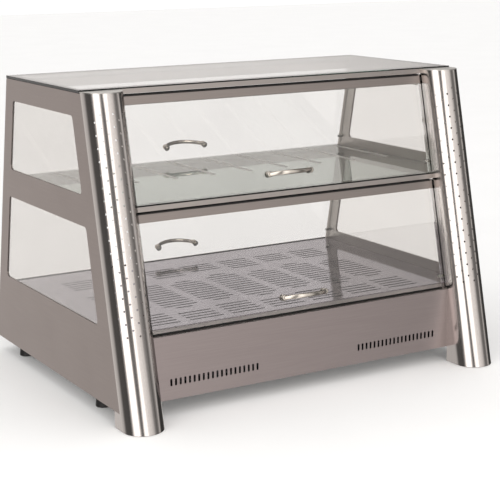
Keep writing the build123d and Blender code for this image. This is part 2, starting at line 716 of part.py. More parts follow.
def deck_plate():
    """Lift-out deck: slotted sheet lying on the front and rear folds, sides turned down."""
    half = LINER_IN - BASE_CLEAR
    y0 = BASE_FRONT + DECK_START
    y1 = rear_inside(DECK_TOP, LINER) - DECK_REAR_GAP
    outer = (Pos(0, (y0 + y1) / 2) * Rectangle(2 * half, y1 - y0)).wire()
    slots = []
    for group in range(GROUPS):
        number = group - GROUPS // 2
        for y, length in slot_rows(number % 2):
            place = Pos(number * GROUP_PITCH, BASE_FRONT + y)
            slots.append((place * SlotOverall(length, SLOT_W)).wire())
    sheet = extrude(Pos(0, 0, DECK_TOP - DECK_T) * Face(outer, slots), DECK_T)
    y_edge0 = BASE_FRONT + FRONT_FLANGE + BASE_CLEAR
    y_edge1 = rear_inside(DECK_TOP, LINER / 2) - REAR_FLANGE - BASE_CLEAR
    turned = box(-half, -half + DECK_T, y_edge0, y_edge1, DECK_TOP - DECK_TURN_DOWN, DECK_TOP)
    for edge in both_sides(turned):
        sheet += edge
    return sheet


def heat_shield():
    """Upright partition between the heating chamber and the electrical bay."""
    y = BASE_FRONT + SHIELD_BACK
    x = LINER_IN - BASE_CLEAR
    z0, z1 = BASE_BOTTOM + LINER, DECK_TOP - DECK_TURN_DOWN - BASE_CLEAR
    shield = box(-x, x, y, y + LINER, z0, z1)
    shield += box(-x, x, y, y + PAN_TURN_UP, z0, z0 + LINER)
    for x_tail in tail_columns():
        shield -= Pos(x_tail, y, ELEMENT_Z) * Rot(90, 0, 0) * Cylinder(ELEMENT_R + ELEMENT_FIT, 6 * LINER)
    shield -= Pos(BULB_X, y, BULB_Z) * Rot(90, 0, 0) * Cylinder(BULB_R + ELEMENT_FIT, 6 * LINER)
    return shield


def tail_columns():
    """X of the four cold ends: each element has two, and the elements are handed."""
    return [-TAIL_X - 30.0, -TAIL_X, TAIL_X, TAIL_X + 30.0]


def heating_elements():
    """Two tubular elements, each a flat hairpin whose tails run back through the shield."""
    rods = []
    end = BASE_FRONT + SHIELD_BACK + 24.0
    for index, y_mid in enumerate(ELEMENT_Y):
        side = -1 if index == 0 else 1
        y_near = BASE_FRONT + y_mid - ELEMENT_LEG_GAP / 2
        y_far = BASE_FRONT + y_mid + ELEMENT_LEG_GAP / 2
        outer, inner = side * (TAIL_X + 30.0), side * TAIL_X
        turn = -side * (ELEMENT_SPAN / 2 - 20.0)
        points = [
            (outer, end, ELEMENT_Z),
            (outer, y_near, ELEMENT_Z),
            (turn, y_near, ELEMENT_Z),
            (turn, y_far, ELEMENT_Z),
            (inner, y_far, ELEMENT_Z),
            (inner, end, ELEMENT_Z),
        ]
        path = FilletPolyline(*points, radius=14.0)
        rods.append(sweep(Plane(origin=points[0], z_dir=(0, -1, 0)) * Circle(ELEMENT_R), path=path))
    return rods


def element_brackets():
    """Upright sheet forks that hold the elements' legs above the bottom pan."""
    out = []
    for x in BRACKET_X:
        for y_mid in ELEMENT_Y:
            y0 = BASE_FRONT + y_mid - ELEMENT_LEG_GAP / 2
            y1 = BASE_FRONT + y_mid + ELEMENT_LEG_GAP / 2
            plate = box(x, x + LINER, y0 - 12, y1 + 12, BASE_BOTTOM + LINER, ELEMENT_Z + 8)
            for y in (y0, y1):
                hole = Pos(x, y, ELEMENT_Z) * Rot(0, 90, 0) * Cylinder(ELEMENT_R + ELEMENT_FIT, 6 * LINER)
                plate -= hole
            plate += box(x, x + 14, y0 - 12, y1 + 12, BASE_BOTTOM + LINER, BASE_BOTTOM + 2 * LINER)
            out.append(plate)
    return out


def thermostat():
    """Capillary thermostat: case behind the panel, threaded neck and nut through it."""
    low = (Align.CENTER, Align.CENTER, Align.MIN)
    case = Pos(0, 0, -LINER - THERMO_D) * Box(THERMO_L, THERMO_W, THERMO_D, align=low)
    neck = Pos(0, 0, -LINER) * Cylinder(NECK_R, LINER + NECK_OUT, align=low)
    nut = extrude(RegularPolygon(NECK_R * 1.6, 6), NECK_OUT / 2)
    bore = Cylinder(SPINDLE_R + KNOB_FIT, 3 * THERMO_D)
    entry = Pos(THERMO_L / 3, 0, -LINER - THERMO_D) * Cylinder(CAPILLARY_R + KNOB_FIT, THERMO_D / 4)
    return control_place(KNOB_X).location * (case + neck + nut - bore - entry)


def thermostat_spindle():
    """Flatted spindle that the knob turns."""
    low = (Align.CENTER, Align.CENTER, Align.MIN)
    rod = Pos(0, 0, -LINER - THERMO_D) * Cylinder(SPINDLE_R, LINER + THERMO_D + SPINDLE_TIP, align=low)
    flat = Pos(0, SPINDLE_R, KNOB_SKIRT) * Box(4 * SPINDLE_R, SPINDLE_R, SPINDLE_TIP, align=low)
    return control_place(KNOB_X).location * (rod - flat)


def thermostat_knob():
    """Moulded knob: rim hollow behind for the nut, fluted grip and a raised pointer."""
    low = (Align.CENTER, Align.CENTER, Align.MIN)
    rim = Pos(0, 0, KNOB_GAP) * Cylinder(KNOB_R, KNOB_SKIRT, align=low)
    grip = Pos(0, 0, KNOB_SKIRT) * Cone(KNOB_R * 0.74, KNOB_R * 0.66, KNOB_H - KNOB_SKIRT, align=low)
    grip = fillet(grip.edges().group_by(Axis.Z)[-1], 1.5)
    for i in range(12):
        flute = Pos(KNOB_R * 0.80, 0, KNOB_GAP + KNOB_SKIRT) * Cylinder(2.6, KNOB_H, align=low)
        grip -= Rot(0, 0, 15 + i * 30) * flute
    pointer = Pos(0, KNOB_R * 0.45, KNOB_H - 1.0) * Box(1.6, KNOB_R * 0.4, 1.6, align=low)
    hollow = Cylinder(KNOB_R * 0.8, KNOB_SKIRT - 0.5, align=low)
    socket = Cylinder(SPINDLE_R + KNOB_FIT, SPINDLE_TIP + KNOB_FIT, align=low)
    flat = Pos(0, SPINDLE_R + KNOB_FIT, KNOB_SKIRT + KNOB_FIT)
    flat = flat * Box(4 * SPINDLE_R, SPINDLE_R, SPINDLE_TIP, align=low)
    return control_place(KNOB_X).location * (rim + grip + pointer - hollow - (socket - flat))


def thermostat_bulb():
    """Sensing bulb under the deck and its capillary tube back to the thermostat."""
    place = control_place(KNOB_X)
    back = -LINER - THERMO_D
    first = place.from_local_coords(Vector(THERMO_L / 3, 0, back + THERMO_D / 10))
    second = place.from_local_coords(Vector(THERMO_L / 3, 0, back - 14.0))
    y_bulb = BASE_FRONT + SHIELD_BACK - 85.0
    bulb = Pos(BULB_X, y_bulb, BULB_Z) * Rot(90, 0, 0) * Cylinder(BULB_R, BULB_L)
    points = [
        first,
        second,
        Vector(second.X, second.Y, BULB_Z),
        Vector(BULB_X, second.Y, BULB_Z),
        Vector(BULB_X, y_bulb, BULB_Z),
    ]
    path = FilletPolyline(*points, radius=5.0)
    tube = sweep(Plane(origin=first, z_dir=second - first) * Circle(CAPILLARY_R), path=path)
    return bulb + tube


def switch_housing():
    """Snap-in rocker switch body with a raised bezel and three tab terminals."""
    low = (Align.CENTER, Align.CENTER, Align.MIN)
    high = (Align.CENTER, Align.CENTER, Align.MAX)
    bezel = Box(SWITCH_W + 5, SWITCH_H + 5, 2.0, align=low)
    bezel = fillet(bezel.edges().filter_by(Axis.Z), 2.0)
    housing = bezel + Box(SWITCH_W, SWITCH_H, SWITCH_D, align=high)
    housing -= Pos(0, 0, -WELL_D) * Box(WELL_W, WELL_H, 2 * WELL_D, align=low)
    pivot = Rot(0, 90, 0) * Cylinder(ROCKER_PIN_R + ROCKER_PIN_CLEAR, SWITCH_W - 2.0)
    housing -= Pos(0, 0, -ROCKER_DEPTH) * pivot
    for x in (-7.0, 0.0, 7.0):
        housing += Pos(x, 0, -SWITCH_D) * Box(4.8, 0.8, 9.0, align=high)
    return control_place(SWITCH_X).location * housing


def switch_rocker():
    """Rocker on its pivot pins, resting tilted to off."""
    half = ROCKER_H / 2
    crown = ROCKER_DEPTH + 1.5
    points = [(-half, -3.0), (half, -3.0), (half, crown), (0, crown - 1.9), (-half, crown)]
    rocker = yz_prism(points, -ROCKER_W / 2, ROCKER_W / 2)
    rocker += Rot(0, 90, 0) * Cylinder(ROCKER_PIN_R, SWITCH_W - 2.6)
    return control_place(SWITCH_X).location * Pos(0, 0, -ROCKER_DEPTH) * Rot(-ROCKER_TILT, 0, 0) * rocker


def pilot_lamp():
    """Neon pilot lamp: domed lens, bezel and body."""
    low = (Align.CENTER, Align.CENTER, Align.MIN)
    lens = Pos(0, 0, 1.5) * Cylinder(LAMP_R, 4.0, align=low)
    lens = fillet(lens.edges().group_by(Axis.Z)[-1], LAMP_R / 2)
    body = Cylinder(LAMP_R, 26.0, align=(Align.CENTER, Align.CENTER, Align.MAX))
    return control_place(LAMP_X).location * (Cylinder(LAMP_BEZEL_R, 1.5, align=low) + lens + body)


def cable_gland():
    """Cord entry: hexagonal body and domed nut outside, lock nut inside, open bore."""
    low = (Align.CENTER, Align.CENTER, Align.MIN)
    hexagon = extrude(RegularPolygon(GLAND_R * 1.35, 6), GLAND_OUT / 3)
    dome = Pos(0, 0, GLAND_OUT / 3) * Cone(GLAND_R * 1.2, GLAND_R * 0.8, GLAND_OUT * 2 / 3, align=low)
    thread = Pos(0, 0, -14.0) * Cylinder(GLAND_R, 14.0, align=low)
    lock = Pos(0, 0, -LINER - 5.0) * extrude(RegularPolygon(GLAND_R * 1.4, 6), 5.0)
    bore = Cylinder(CORD_R, 6 * GLAND_OUT)
    return control_place(GLAND_X).location * (hexagon + dome + thread + lock - bore)


def terminal_block():
    """Ceramic terminal block on the bottom pan, three poles with screws on top."""
    y = BASE_FRONT + SHIELD_BACK + 62.0
    z = BASE_BOTTOM + LINER
    block = Pos(GLAND_X - 70.0, y, z) * Box(48, 22, 18, align=(Align.CENTER, Align.CENTER, Align.MIN))
    for i in (-1, 0, 1):
        top = Pos(GLAND_X - 70.0 + i * 15.0, y, z + 18)
        block -= top * Cylinder(3.5, 8.0)
        block += top * Pos(0, 0, -4.0) * Cylinder(2.6, 3.0, align=(Align.CENTER, Align.CENTER, Align.MIN))
        block -= Pos(GLAND_X - 70.0 + i * 15.0, y, z + 7.0) * Rot(90, 0, 0) * Cylinder(2.4, 60.0)
    return block


# ---- assembly ---------------------------------------------------------------------------------------
def doors():
    parts = {}
    levels = {"upper": (HEIGHT, SHELF_TOP), "lower": (SHELF_TOP, DECK_TOP)}
    for face, front in (("front", True), ("rear", False)):
        for level, (top, floor) in levels.items():
            place = door_place(front, top)
            drop = pane_drop(top, floor)
            name = f"{face}_{level}"
            parts[f"{name}_door_rail"] = placed(place, door_rail(front))
            parts[f"{name}_door_glass"] = placed(place, door_glass(front, drop))
            parts[f"{name}_door_handle"] = placed(place, door_handle(drop))
            parts[f"{name}_hinge_plugs"] = placed(place, hinge_plugs(front))
            parts[f"{name}_handle_screws"] = placed(place, handle_screws(drop))
    return parts


def sides():
    left = {
        "column": left_column(),
        "column_cap": left_column_cap(),
        "side_panel": left_side_panel(),
        "side_liner": left_side_liner(),
        "upper_window": left_window_glass(True),
        "lower_window": left_window_glass(False),
    }
    parts = {f"left_{name}": shape for name, shape in left.items()}
    parts.update({f"right_{name}": mirrored(shape) for name, shape in left.items()})
    return parts


def case():
    return {
        "roof_glass": roof_glass(),
        "roof_seal": roof_seal(),
        "front_top_crossbar": crossbar(True, HEIGHT, BAR_RISE),
        "rear_top_crossbar": crossbar(False, HEIGHT, 0.0),
        "front_shelf_crossbar": crossbar(True, SHELF_TOP, BAR_RISE),
        "rear_shelf_crossbar": crossbar(False, SHELF_TOP, BAR_RISE),
        "shelf_glass": shelf_glass(),
        "shelf_pads": shelf_pads(),
        "shelf_brackets": shelf_brackets(),
        "hinge_bushes": hinge_bushes(),
        "door_stops": door_stops(),
        "base_front_panel": base_front_panel(),
        "base_rear_panel": base_rear_panel(),
        "base_bottom_pan": base_bottom_pan(),
        "deck_plate": deck_plate(),
        "heat_shield": heat_shield(),
        "heating_elements": heating_elements(),
        "element_brackets": element_brackets(),
        "thermostat": thermostat(),
        "thermostat_bulb": thermostat_bulb(),
        "thermostat_spindle": thermostat_spindle(),
        "thermostat_knob": thermostat_knob(),
        "switch_housing": switch_housing(),
        "switch_rocker": switch_rocker(),
        "pilot_lamp": pilot_lamp(),
        "cable_gland": cable_gland(),
        "terminal_block": terminal_block(),
        "rubber_feet": feet(),
    }


nodes = {}
nodes.update(sides())
nodes.update(case())
nodes.update(doors())

os.makedirs("parts", exist_ok=True)
for name, shape in nodes.items():
    solids = [s for item in (shape if isinstance(shape, list) else [shape]) for s in item.solids()]
    part = solids[0] if len(solids) == 1 else Compound(children=solids)
    part.label = name
    export_step(part, f"parts/{name}.step")
print(len(nodes), "nodes")
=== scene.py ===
import bpy
import json
from math import cos, pi, radians, sin, tan
from mathutils import Matrix, Vector


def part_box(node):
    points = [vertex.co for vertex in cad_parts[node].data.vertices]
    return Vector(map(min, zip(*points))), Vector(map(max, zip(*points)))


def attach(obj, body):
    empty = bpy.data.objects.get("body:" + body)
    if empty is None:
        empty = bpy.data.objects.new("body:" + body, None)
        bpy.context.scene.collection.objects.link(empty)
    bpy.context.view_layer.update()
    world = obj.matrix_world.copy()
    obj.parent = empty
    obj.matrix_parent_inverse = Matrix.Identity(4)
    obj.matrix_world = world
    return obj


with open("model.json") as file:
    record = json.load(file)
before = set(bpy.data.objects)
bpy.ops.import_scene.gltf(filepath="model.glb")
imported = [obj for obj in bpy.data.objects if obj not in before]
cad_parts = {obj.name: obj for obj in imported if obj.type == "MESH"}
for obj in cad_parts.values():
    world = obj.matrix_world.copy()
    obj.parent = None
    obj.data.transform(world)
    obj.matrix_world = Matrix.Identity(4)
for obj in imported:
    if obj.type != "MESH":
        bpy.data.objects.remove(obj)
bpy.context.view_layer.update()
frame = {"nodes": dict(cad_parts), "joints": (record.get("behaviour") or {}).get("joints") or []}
case_parts = frame["nodes"]

# ---- Corner columns -------------------------------------------------------------------------
# Half-round posts of perforated 1.5 mm stainless sheet, belt-polished along their length, each
# under a flat D-shaped lid of satin sheet.


def linear(code):
    """A linear colour from an sRGB hex value."""
    channels = [int(code[i : i + 2], 16) / 255 for i in (0, 2, 4)]
    return [c / 12.92 if c <= 0.04045 else ((c + 0.055) / 1.055) ** 2.4 for c in channels] + [1.0]


def put(tree, kind, links=(), **settings):
    """Adds a node. Settings are its properties, its inputs by name, or i1 for its second input."""
    new = tree.nodes.new(kind)
    for name, value in settings.items():
        if hasattr(new, name):
            setattr(new, name, value)
    for name, value in settings.items():
        if not hasattr(new, name):
            socket = int(name[1:]) if name[1:].isdigit() else name.replace("_", " ")
            new.inputs[socket].default_value = value
    for source, target in links:
        tree.links.new(source, new.inputs[target])
    return new


def fresh(name):
    """An empty material with its output; returns the material, its tree and the output node."""
    made = bpy.data.materials.new(name)
    made.use_nodes = True
    made.node_tree.nodes.clear()
    return made, made.node_tree, put(made.node_tree, "ShaderNodeOutputMaterial")


def stainless(name, pale, dark, grain, rough, streak_mm=1.4, bump=0.10):
    """Belt-polished stainless steel: fine streaks along the grain, soft wipe marks across it.
    The real scratches are about 0.05 mm wide; they are drawn wider, at streak_mm, to show."""
    steel, tree, out = fresh(name)
    place = put(tree, "ShaderNodeTexCoord").outputs["Object"]
    fine = 1 / (streak_mm / 1000)
    stretch = [fine, fine, fine]
    stretch["XYZ".index(grain)] = fine / 60
    lines = put(tree, "ShaderNodeMapping", [(place, "Vector")], Scale=stretch)
    streaks = put(tree, "ShaderNodeTexNoise", [(lines.outputs[0], "Vector")], Scale=1.0, Detail=3.0)
    wipes = put(
        tree, "ShaderNodeTexNoise", [(place, "Vector")], Scale=9.0, Detail=4.0, Roughness=0.6
    )
    tone = put(tree, "ShaderNodeMix", [(streaks.outputs["Fac"], "Factor")], data_type="RGBA")
    tone.inputs["A"].default_value = linear(dark)
    tone.inputs["B"].default_value = linear(pale)
    gloss = put(
        tree,
        "ShaderNodeMath",
        [(wipes.outputs["Fac"], 0)],
        operation="MULTIPLY_ADD",
        i1=0.10,
        i2=rough - 0.05,
    )
    gloss = put(
        tree,
        "ShaderNodeMath",
        [(streaks.outputs["Fac"], 0), (gloss.outputs[0], 2)],
        operation="MULTIPLY_ADD",
        i1=0.06,
    )
    relief = put(
        tree,
        "ShaderNodeBump",
        [(streaks.outputs["Fac"], "Height")],
        Strength=bump,
        Distance=0.00004,
    )
    face = put(
        tree,
        "ShaderNodeBsdfPrincipled",
        [
            (tone.outputs["Result"], "Base Color"),
            (gloss.outputs[0], "Roughness"),
            (relief.outputs[0], "Normal"),
        ],
        Metallic=1.0,
    )
    tree.links.new(face.outputs[0], out.inputs["Surface"])
    return steel


def finish_with(material, *names):
    """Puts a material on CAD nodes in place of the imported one."""
    for name in names:
        mesh = case_parts[name].data
        mesh.materials.clear()
        mesh.materials.append(material)


sides = ("left", "right")
# Belt-polished: smooth enough to mirror the room as long stripes, with faint lines up the post.
column_steel = stainless(
    "belt_polished_stainless_column", "d2cdca", "c0bbb8", "Z", 0.09, bump=0.05
)
finish_with(column_steel, *[f"{side}_column" for side in sides])
# Satin: a dull, even grey that shows no reflections.
cap_steel = stainless("satin_stainless_lid", "d2d0cc", "bcb9b5", "X", 0.32)
finish_with(cap_steel, *[f"{side}_column_cap" for side in sides])

# ---- Side panels ----------------------------------------------------------------------------
# Outer skins of satin stainless sheet with two cut-out windows, welded to the columns and folded
# in at the rear, and the thin liners inside them that clamp the glass. Their grain runs level.

# Satin with a level grain: soft grey, a little darker where the panel turns from the light.
skin_steel = stainless("satin_stainless_side", "a69b97", "968c88", "Y", 0.30)
finish_with(skin_steel, *[f"{side}_side_panel" for side in sides])
liner_steel = stainless("satin_stainless_liner", "b0aaa4", "9f9993", "Y", 0.28)
finish_with(liner_steel, *[f"{side}_side_liner" for side in sides])

# ---- Window, roof, shelf and door glass -----------------------------------------------------
# Toughened float glass with ground edges. Seen through its face it is almost clear; light that
# has run the length of a plate comes out of its edges green.


def float_glass(name, tint, edge, facing, smear=0.006, lines_mm=None):
    """Clear glass whose ground edges are green. facing is the direction its faces look in.
    lines_mm is the pitch, the width and the start in Y of lines etched into it, if any."""
    glass, tree, out = fresh(name)
    where = put(tree, "ShaderNodeTexCoord")
    along = put(
        tree, "ShaderNodeVectorMath", [(where.outputs["Normal"], 0)], operation="DOT_PRODUCT"
    )
    along.inputs[1].default_value = facing
    flat = put(tree, "ShaderNodeMath", [(along.outputs["Value"], 0)], operation="ABSOLUTE")
    face = put(tree, "ShaderNodeMath", [(flat.outputs[0], 0)], operation="GREATER_THAN", i1=0.8)
    colour = put(tree, "ShaderNodeMix", [(face.outputs[0], "Factor")], data_type="RGBA")
    colour.inputs["A"].default_value = linear(edge)
    colour.inputs["B"].default_value = linear(tint)
    wiped = put(
        tree, "ShaderNodeTexNoise", [(where.outputs["Object"], "Vector")], Scale=14.0, Detail=5.0
    )
    gloss = put(
        tree,
        "ShaderNodeMapRange",
        [(wiped.outputs["Fac"], "Value")],
        From_Min=0.55,
        From_Max=0.8,
        To_Min=0.0,
        To_Max=smear,
    )
    body = put(
        tree,
        "ShaderNodeBsdfPrincipled",
        [(colour.outputs["Result"], "Base Color"), (gloss.outputs[0], "Roughness")],
        IOR=1.5,
    )
    body.inputs["Transmission Weight"].default_value = 1.0
    if lines_mm is not None:
        pitch, width, start = [mm / 1000 for mm in lines_mm]
        spot = put(tree, "ShaderNodeSeparateXYZ", [(where.outputs["Object"], "Vector")])
        away = put(
            tree, "ShaderNodeMath", [(spot.outputs["X"], 0)], operation="PINGPONG", i1=pitch / 2
        )
        line = put(
            tree,
            "ShaderNodeMath",
            [(away.outputs[0], 0)],
            operation="GREATER_THAN",
            i1=(pitch - width) / 2,
        )
        back = put(
            tree, "ShaderNodeMath", [(spot.outputs["Y"], 0)], operation="GREATER_THAN", i1=start
        )
        etched = put(
            tree,
            "ShaderNodeMath",
            [(line.outputs[0], 0), (back.outputs[0], 1)],
            operation="MULTIPLY",
        )
        frost = put(tree, "ShaderNodeBsdfPrincipled", Base_Color=linear("cdccc8"), Roughness=0.35)
        body = put(
            tree,
            "ShaderNodeMixShader",
            [(etched.outputs[0], 0), (body.outputs[0], 1), (frost.outputs[0], 2)],
        )
    tree.links.new(body.outputs[0], out.inputs["Surface"])
    return glass


# Clear, with a faint warm cast, so the white behind it comes through slightly greyed.
window_glass = float_glass("float_glass_window", "ece9e6", "8fa596", (1, 0, 0))
window_names = [f"{side}_{level}_window" for side in sides for level in ("upper", "lower")]
finish_with(window_glass, *window_names)
# Colourless: what shows on the roof is the room mirrored in it.
roof_plate = float_glass("float_glass_roof", "fdfdfd", "7f9a8c", (0, 0, 1))
finish_with(roof_plate, "roof_glass")
# Grey-green in its depth, with pale strips across its rear part where it is etched.
shelf_plate = float_glass(
    "float_glass_shelf", "aab4ad", "6f8a7a", (0, 0, 1), lines_mm=(90, 11, 33)
)
finish_with(shelf_plate, "shelf_glass")
LEAN = radians(12.5)
door_facing = {"front": (0, -cos(LEAN), sin(LEAN)), "rear": (0, cos(LEAN), sin(LEAN))}
door_names = [f"{face}_{level}" for face in ("front", "rear") for level in ("upper", "lower")]
for name in door_names:
    facing = door_facing[name.split("_")[0]]
    pane = float_glass(f"float_glass_{name}_door", "f9f8f7", "8fa596", facing)
    finish_with(pane, f"{name}_door_glass")

# ---- Crossbars and door rails ---------------------------------------------------------------
# Folded bars and hinged head rails of satin stainless sheet, with the grain along the bar, and
# the brackets that carry the shelf's ends.

# Satin, lit from above: the bars read as plain mid-grey strips.
bar_steel = stainless("satin_stainless_bar", "b4aeaa", "a29c98", "X", 0.26)
bar_names = [f"{face}_{level}_crossbar" for face in ("front", "rear") for level in ("top", "shelf")]
finish_with(bar_steel, "shelf_brackets", *bar_names)
# The same sheet, a shade darker because the rail leans and sees less of the light.
rail_steel = stainless("satin_stainless_rail", "a29a96", "928a86", "X", 0.30)
finish_with(rail_steel, *[f"{name}_door_rail" for name in door_names])

# ---- Base and deck --------------------------------------------------------------------------
# Folded front and rear panels of satin sheet, and a lift-out deck plate, polished bright. The
# pan, heat partition and element brackets are zinc-coated steel.

# Satin: a warm grey front that carries the room's light and dark as broad soft bands.
front_steel = stainless("satin_stainless_base", "b4a9a8", "a49998", "X", 0.30)
finish_with(front_steel, "base_front_panel", "base_rear_panel")
# Polished: it mirrors the doors and the glass above it.
deck_steel = stainless("polished_stainless_deck", "9c98a1", "928e98", "X", 0.06, bump=0.03)
finish_with(deck_steel, "deck_plate")
# Zinc-coated: dull blue-grey, its spangle drawn as broad soft streaks.
zinc_sheet = stainless("zinc_coated_sheet", "a8aaab", "8e9092", "X", 0.45, streak_mm=6.0, bump=0.2)
finish_with(zinc_sheet, "base_bottom_pan", "heat_shield", "element_brackets")
# Turned steel: small and bright.
spindle_steel = stainless("turned_steel", "b8b6b2", "a5a29e", "Y", 0.2)
finish_with(spindle_steel, "thermostat_spindle")

# ---- Moulded plastics, rubbers and the small parts of the base ------------------------------
# Black nylon, silicone and rubber straight from the mould, unpainted. The cast and drawn metal
# parts under the deck share the same faintly mottled surface.


def moulded(name, colour, shade, rough, pebble_mm=0.8, bump=0.15, metallic=0.0):
    """A moulded or cast surface: faint mottling and the fine pebble that a mould leaves.
    The real texture is 0.1 mm; it is drawn coarser so that it shows."""
    made, tree, out = fresh(name)
    place = put(tree, "ShaderNodeTexCoord").outputs["Object"]
    pebble = put(
        tree, "ShaderNodeTexNoise", [(place, "Vector")], Scale=1000 / pebble_mm, Detail=2.0
    )
    mottle = put(tree, "ShaderNodeTexNoise", [(place, "Vector")], Scale=60.0, Detail=3.0)
    tone = put(tree, "ShaderNodeMix", [(mottle.outputs["Fac"], "Factor")], data_type="RGBA")
    tone.inputs["A"].default_value = linear(shade)
    tone.inputs["B"].default_value = linear(colour)
    gloss = put(
        tree,
        "ShaderNodeMath",
        [(mottle.outputs["Fac"], 0)],
        operation="MULTIPLY_ADD",
        i1=0.16,
        i2=rough - 0.08,
    )
    relief = put(
        tree,
        "ShaderNodeBump",
        [(pebble.outputs["Fac"], "Height")],
        Strength=bump,
        Distance=0.00008,
    )
    face = put(
        tree,
        "ShaderNodeBsdfPrincipled",
        [
            (tone.outputs["Result"], "Base Color"),
            (gloss.outputs[0], "Roughness"),
            (relief.outputs[0], "Normal"),
        ],
        Metallic=metallic,
    )
    tree.links.new(face.outputs[0], out.inputs["Surface"])
    return made


# Silicone bead: a thin, nearly black line with a soft sheen. The same black also paints the shadow
# strips on the door rails.
black_silicone = moulded("black_silicone", "0e0d0d", "070707", 0.55)
finish_with(black_silicone, "roof_seal")
# Unpigmented silicone: milky pale grey.
clear_silicone = moulded("milky_silicone", "b9b7b1", "a09e98", 0.4)
finish_with(clear_silicone, "shelf_pads", "door_stops")
# Rubber: flat black.
foot_rubber = moulded("moulded_foot_rubber", "0d0b0b", "060505", 0.6, pebble_mm=1.5)
finish_with(foot_rubber, "rubber_feet")
# Nylon: black with a low sheen.
black_nylon = moulded("black_nylon", "1a1918", "100f0f", 0.45)
finish_with(black_nylon, "hinge_bushes", "cable_gland", "switch_housing")
finish_with(black_nylon, *[f"{name}_hinge_plugs" for name in door_names])
# Phenolic: black and glossier than the nylon.
phenolic = moulded("black_phenolic_knob", "171615", "0d0c0c", 0.32)
finish_with(phenolic, "thermostat_knob")
# Polycarbonate: a glossy deep green.
rocker_green = moulded("green_rocker_polycarbonate", "1d7a34", "14622a", 0.22)
finish_with(rocker_green, "switch_rocker")
# Acrylic: a glossy deep red.
lamp_red = moulded("red_lamp_acrylic", "b3211a", "8f1712", 0.15)
finish_with(lamp_red, "pilot_lamp")
# Unglazed steatite: matt off-white.
steatite = moulded("steatite_block", "dcd8cd", "cbc6ba", 0.55)
finish_with(steatite, "terminal_block")
# Plated steel: dull silver grey.
plated_case = moulded("plated_thermostat_case", "9c9a94", "86847f", 0.38, metallic=1.0)
finish_with(plated_case, "thermostat")
# Drawn copper: warm and bright.
drawn_copper = moulded("drawn_copper", "c98a66", "a96b4c", 0.3, metallic=1.0)
finish_with(drawn_copper, "thermostat_bulb")
# Heat-oxidised sheath: dark brown-grey.
element_sheath = moulded("oxidised_heater_sheath", "4a4440", "35302d", 0.5, metallic=0.9)
finish_with(element_sheath, "heating_elements")

# ---- Bow handles ----------------------------------------------------------------------------
# Cast bows, plated in satin nickel: an arched grip on two round feet, each foot held by a screw
# through the pane.

# Satin plate: soft highlights along the top of the arch.
nickel = moulded("brushed_nickel_plate", "d3cdc5", "aea8a0", 0.22, pebble_mm=0.6, metallic=1.0)
finish_with(nickel, *[f"{name}_door_handle" for name in door_names])
finish_with(nickel, *[f"{name}_handle_screws" for name in door_names])

# ---- Seals and painted gap shadows ----------------------------------------------------------
# Extruded black silicone: a strip along the base's top edge that the lower door closes on. Along
# the rolled top of each door rail lies a black strip that is painted shade, not a real part: it
# stands for the shadow in the gap between the rail and the crossbar above it. Each shows as a
# thin dark line.


def rounded_bar(name, size, edge):
    """A bar of that size at the origin, its edges rounded over."""
    bpy.ops.object.select_all(action="DESELECT")
    bpy.ops.mesh.primitive_cube_add(size=1)
    bar = bpy.context.object
    bar.name = name
    bar.scale = size
    bpy.ops.object.transform_apply(scale=True)
    bpy.ops.object.mode_set(mode="EDIT")
    bpy.ops.mesh.select_all(action="SELECT")
    bpy.ops.mesh.bevel(offset=edge, segments=3, affect="EDGES")
    bpy.ops.mesh.normals_make_consistent(inside=False)
    bpy.ops.object.mode_set(mode="OBJECT")
    bpy.ops.object.shade_smooth_by_angle(angle=radians(40))
    return bar


def set_out(pattern, places, body_of_each, material):
    """Copies of a piece modelled at the origin, each with its own mesh, at those places."""
    pattern.data.materials.append(material)
    for name, place in places.items():
        twin = pattern.copy()
        twin.name, twin.data = name, pattern.data.copy()
        twin.data.transform(place)
        bpy.context.scene.collection.objects.link(twin)
        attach(twin, body_of_each[name] if isinstance(body_of_each, dict) else body_of_each)
    bpy.data.objects.remove(pattern)


# The rail strips are painted shadow: black bars laid where the gap under each crossbar is in shade.
SHADE_STRIP_DEEP, SHADE_STRIP_THICK, SHADE_STRIP_EDGE = 0.0104, 0.0018, 0.0007
SHADE_STRIP_OUT, SHADE_STRIP_UP = 0.0012, 0.0002  # its middle from the hinge line, and above the rail
SHADE_STRIP_SHORT = 0.005                   # shorter than its rail
SEAL_DEEP, SEAL_THICK, SEAL_EDGE = 0.007, 0.0022, 0.0009
SEAL_IN, SEAL_MID_Z = 0.0015, 0.1601  # its middle inside the pane's face, and its height
SEAL_SHORT = 0.002                    # shorter than its pane

hinges = {joint["name"]: joint["pos_m"] for joint in frame["joints"]}
places, bodies = {}, {}
# Each door carries one black strip on its rail, painted shadow of the gap above it.
for name in door_names:
    outward = -1 if name.startswith("front") else 1
    rail_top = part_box(f"{name}_door_rail")[1]
    middle_y = hinges[f"{name}_door_hinge"][1] + outward * SHADE_STRIP_OUT
    spot = Matrix.Translation((0, middle_y, rail_top[2] + SHADE_STRIP_UP))
    tilt = Matrix.Rotation(-outward * LEAN * 0.6, 4, "X")
    places[f"{name}_wiper_strip"] = spot @ tilt @ Matrix.Scale(
        2 * rail_top[0] - SHADE_STRIP_SHORT, 4, (1, 0, 0)
    )
    bodies[f"{name}_wiper_strip"] = f"{name}_door"
gap_shade_bar = rounded_bar("gap_shade_bar", (1, SHADE_STRIP_DEEP, SHADE_STRIP_THICK), SHADE_STRIP_EDGE)
set_out(gap_shade_bar, places, bodies, black_silicone)

